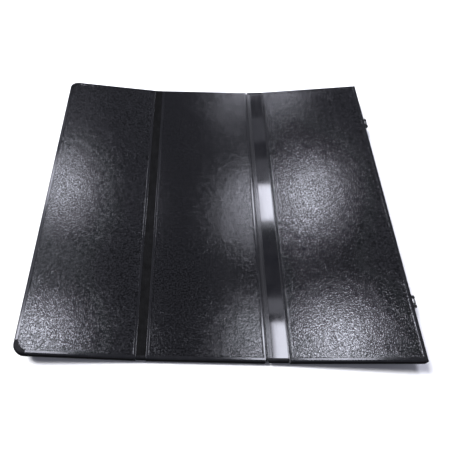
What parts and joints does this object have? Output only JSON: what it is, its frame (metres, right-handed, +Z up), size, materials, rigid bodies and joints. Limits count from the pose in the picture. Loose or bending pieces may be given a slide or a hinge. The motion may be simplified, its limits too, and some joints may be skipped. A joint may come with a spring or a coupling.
{
  "type": "tonneau cover",
  "caption": "Hard folding tonneau cover: framed embossed panels joined by a narrow flexible hinge and a wide double hinge, with swing clamps at the cab end and under the tailgate end.",
  "frame": {"origin": "under the middle of the whole, on the plane that the middle panel's side seals rest on", "axes": "+X along the truck towards the cab, +Y across the truck, +Z up out of the middle panel's top"},
  "size_m": [1.6258, 1.5, 0.101],
  "materials": {
    "black_powder_coat": "satin black powder coat on extruded aluminium",
    "embossed_black_skin": "satin, embossed with a fine pebble grain",
    "foam_core": "raw foam board",
    "gloss_black_trim": "high gloss",
    "black_rubber": "matte",
    "black_plastic": "semi-gloss moulded",
    "black_cast_clamp": "black coated casting",
    "zinc_plated_steel": "zinc plated"
  },
  "bodies": {
    "cab_panel": {"cab_hinge_rail": "black_powder_coat", "cab_end_rail": "black_powder_coat", "cab_side_rail_near": "black_powder_coat", "cab_side_rail_far": "black_powder_coat", "cab_side_seal_near": "black_rubber", "cab_side_seal_far": "black_rubber", "cab_top_skin": "embossed_black_skin", "cab_foam_core": "foam_core", "cab_bottom_skin": "embossed_black_skin", "cab_end_seal": "black_rubber", "front_clamp_bracket_near": "black_cast_clamp", "front_clamp_bracket_far": "black_cast_clamp", "front_clamp_pin_near": "zinc_plated_steel", "front_clamp_pin_far": "zinc_plated_steel"},
    "hinge_link": {"wide_hinge_link": "black_powder_coat", "wide_hinge_trim_strip": "gloss_black_trim", "wide_hinge_end_cap_near": "black_plastic", "wide_hinge_end_cap_far": "black_plastic"},
    "middle_panel": {"middle_hinge_rail_narrow": "black_powder_coat", "middle_hinge_rail_wide": "black_powder_coat", "middle_side_rail_near": "black_powder_coat", "middle_side_rail_far": "black_powder_coat", "middle_side_seal_near": "black_rubber", "middle_side_seal_far": "black_rubber", "middle_top_skin": "embossed_black_skin", "middle_foam_core": "foam_core", "middle_bottom_skin": "embossed_black_skin", "narrow_hinge_strip": "black_rubber", "narrow_hinge_end_cap_near": "black_plastic", "narrow_hinge_end_cap_far": "black_plastic"},
    "tailgate_panel": {"tailgate_hinge_rail": "black_powder_coat", "tailgate_end_rail": "black_powder_coat", "tailgate_corner_cap_near": "black_plastic", "tailgate_corner_cap_far": "black_plastic", "tailgate_side_rail_near": "black_powder_coat", "tailgate_side_rail_far": "black_powder_coat", "tailgate_side_seal_near": "black_rubber", "tailgate_side_seal_far": "black_rubber", "tailgate_top_skin": "embossed_black_skin", "tailgate_foam_core": "foam_core", "tailgate_bottom_skin": "embossed_black_skin", "tailgate_end_seal": "black_rubber", "rear_clamp_bracket_near": "black_cast_clamp", "rear_clamp_bracket_far": "black_cast_clamp", "rear_clamp_pin_near": "zinc_plated_steel", "rear_clamp_pin_far": "zinc_plated_steel"},
    "front_swing_bolt_near": {"front_clamp_swing_bolt_near": "zinc_plated_steel"},
    "front_jaw_near": {"front_clamp_jaw_near": "black_cast_clamp"},
    "front_nut_near": {"front_clamp_nut_near": "black_plastic"},
    "front_swing_bolt_far": {"front_clamp_swing_bolt_far": "zinc_plated_steel"},
    "front_jaw_far": {"front_clamp_jaw_far": "black_cast_clamp"},
    "front_nut_far": {"front_clamp_nut_far": "black_plastic"},
    "rear_arm_near": {"rear_clamp_arm_near": "black_cast_clamp"},
    "rear_knob_near": {"rear_clamp_knob_near": "black_plastic"},
    "rear_screw_near": {"rear_clamp_screw_near": "zinc_plated_steel"},
    "rear_arm_far": {"rear_clamp_arm_far": "black_cast_clamp"},
    "rear_knob_far": {"rear_clamp_knob_far": "black_plastic"},
    "rear_screw_far": {"rear_clamp_screw_far": "zinc_plated_steel"}
  },
  "joints": [
    {"name": "wide_hinge_cab_side", "type": "hinge", "parent": "cab_panel", "child": "hinge_link", "pos_m": [0.26731, 0, 0.03502], "axis": [0, 1, 0], "range_deg": [-3.45, 86.55]},
    {"name": "wide_hinge_middle_side", "type": "hinge", "parent": "hinge_link", "child": "middle_panel", "pos_m": [0.17576, 0, 0.0295], "axis": [0, 1, 0], "range_deg": [-3.45, 86.55]},
    {"name": "narrow_hinge", "type": "hinge", "parent": "middle_panel", "child": "tailgate_panel", "pos_m": [-0.32218, 0, 0.0355], "axis": [0, 1, 0], "range_deg": [-5.9, 174.1], "deforming": ["narrow_hinge_strip", "narrow_hinge_end_cap_near", "narrow_hinge_end_cap_far"]},
    {"name": "front_bolt_swing_near", "type": "hinge", "parent": "cab_panel", "child": "front_swing_bolt_near", "pos_m": [0.79916, -0.498, 0.06231], "axis": [0, -1, 0], "range_deg": [-6.9, 95]},
    {"name": "front_jaw_slide_near", "type": "slide", "parent": "front_swing_bolt_near", "child": "front_jaw_near", "axis": [0, 0, 1], "range_m": [0, 0.012]},
    {"name": "front_nut_turn_near", "type": "hinge", "parent": "front_jaw_near", "child": "front_nut_near", "pos_m": [0.79916, -0.498, 0.06231], "axis": [0, 0, 1], "range_deg": [0, 3450]},
    {"name": "front_bolt_swing_far", "type": "hinge", "parent": "cab_panel", "child": "front_swing_bolt_far", "pos_m": [0.79916, 0.498, 0.06231], "axis": [0, -1, 0], "range_deg": [-6.9, 95]},
    {"name": "front_jaw_slide_far", "type": "slide", "parent": "front_swing_bolt_far", "child": "front_jaw_far", "axis": [0, 0, 1], "range_m": [0, 0.012]},
    {"name": "front_nut_turn_far", "type": "hinge", "parent": "front_jaw_far", "child": "front_nut_far", "pos_m": [0.79916, 0.498, 0.06231], "axis": [0, 0, 1], "range_deg": [0, 3450]},
    {"name": "rear_arm_swing_near", "type": "hinge", "parent": "tailgate_panel", "child": "rear_arm_near", "pos_m": [-0.72427, -0.612, 0.03583], "axis": [0.9947, 0, -0.1028], "range_deg": [-90, 0]},
    {"name": "rear_knob_turn_near", "type": "hinge", "parent": "rear_arm_near", "child": "rear_knob_near", "pos_m": [-0.72592, -0.612, 0.01992], "axis": [0, 1, 0], "range_deg": [0, 2870]},
    {"name": "rear_screw_slide_near", "type": "slide", "parent": "rear_arm_near", "child": "rear_screw_near", "axis": [0, -1, 0], "range_m": [0, 0.012]},
    {"name": "rear_arm_swing_far", "type": "hinge", "parent": "tailgate_panel", "child": "rear_arm_far", "pos_m": [-0.72427, 0.612, 0.03583], "axis": [-0.9947, 0, 0.1028], "range_deg": [-90, 0]},
    {"name": "rear_knob_turn_far", "type": "hinge", "parent": "rear_arm_far", "child": "rear_knob_far", "pos_m": [-0.72592, 0.612, 0.01992], "axis": [0, -1, 0], "range_deg": [0, 2870]},
    {"name": "rear_screw_slide_far", "type": "slide", "parent": "rear_arm_far", "child": "rear_screw_far", "axis": [0, 1, 0], "range_m": [0, 0.012]}
  ],
  "couplings": [
    {"joint": "front_jaw_slide_near", "follows": "front_nut_turn_near", "m_per_rad": 0.00019894},
    {"joint": "front_jaw_slide_far", "follows": "front_nut_turn_far", "m_per_rad": 0.00019894},
    {"joint": "rear_screw_slide_near", "follows": "rear_knob_turn_near", "m_per_rad": 0.00023873},
    {"joint": "rear_screw_slide_far", "follows": "rear_knob_turn_far", "m_per_rad": 0.00023873}
  ]
}
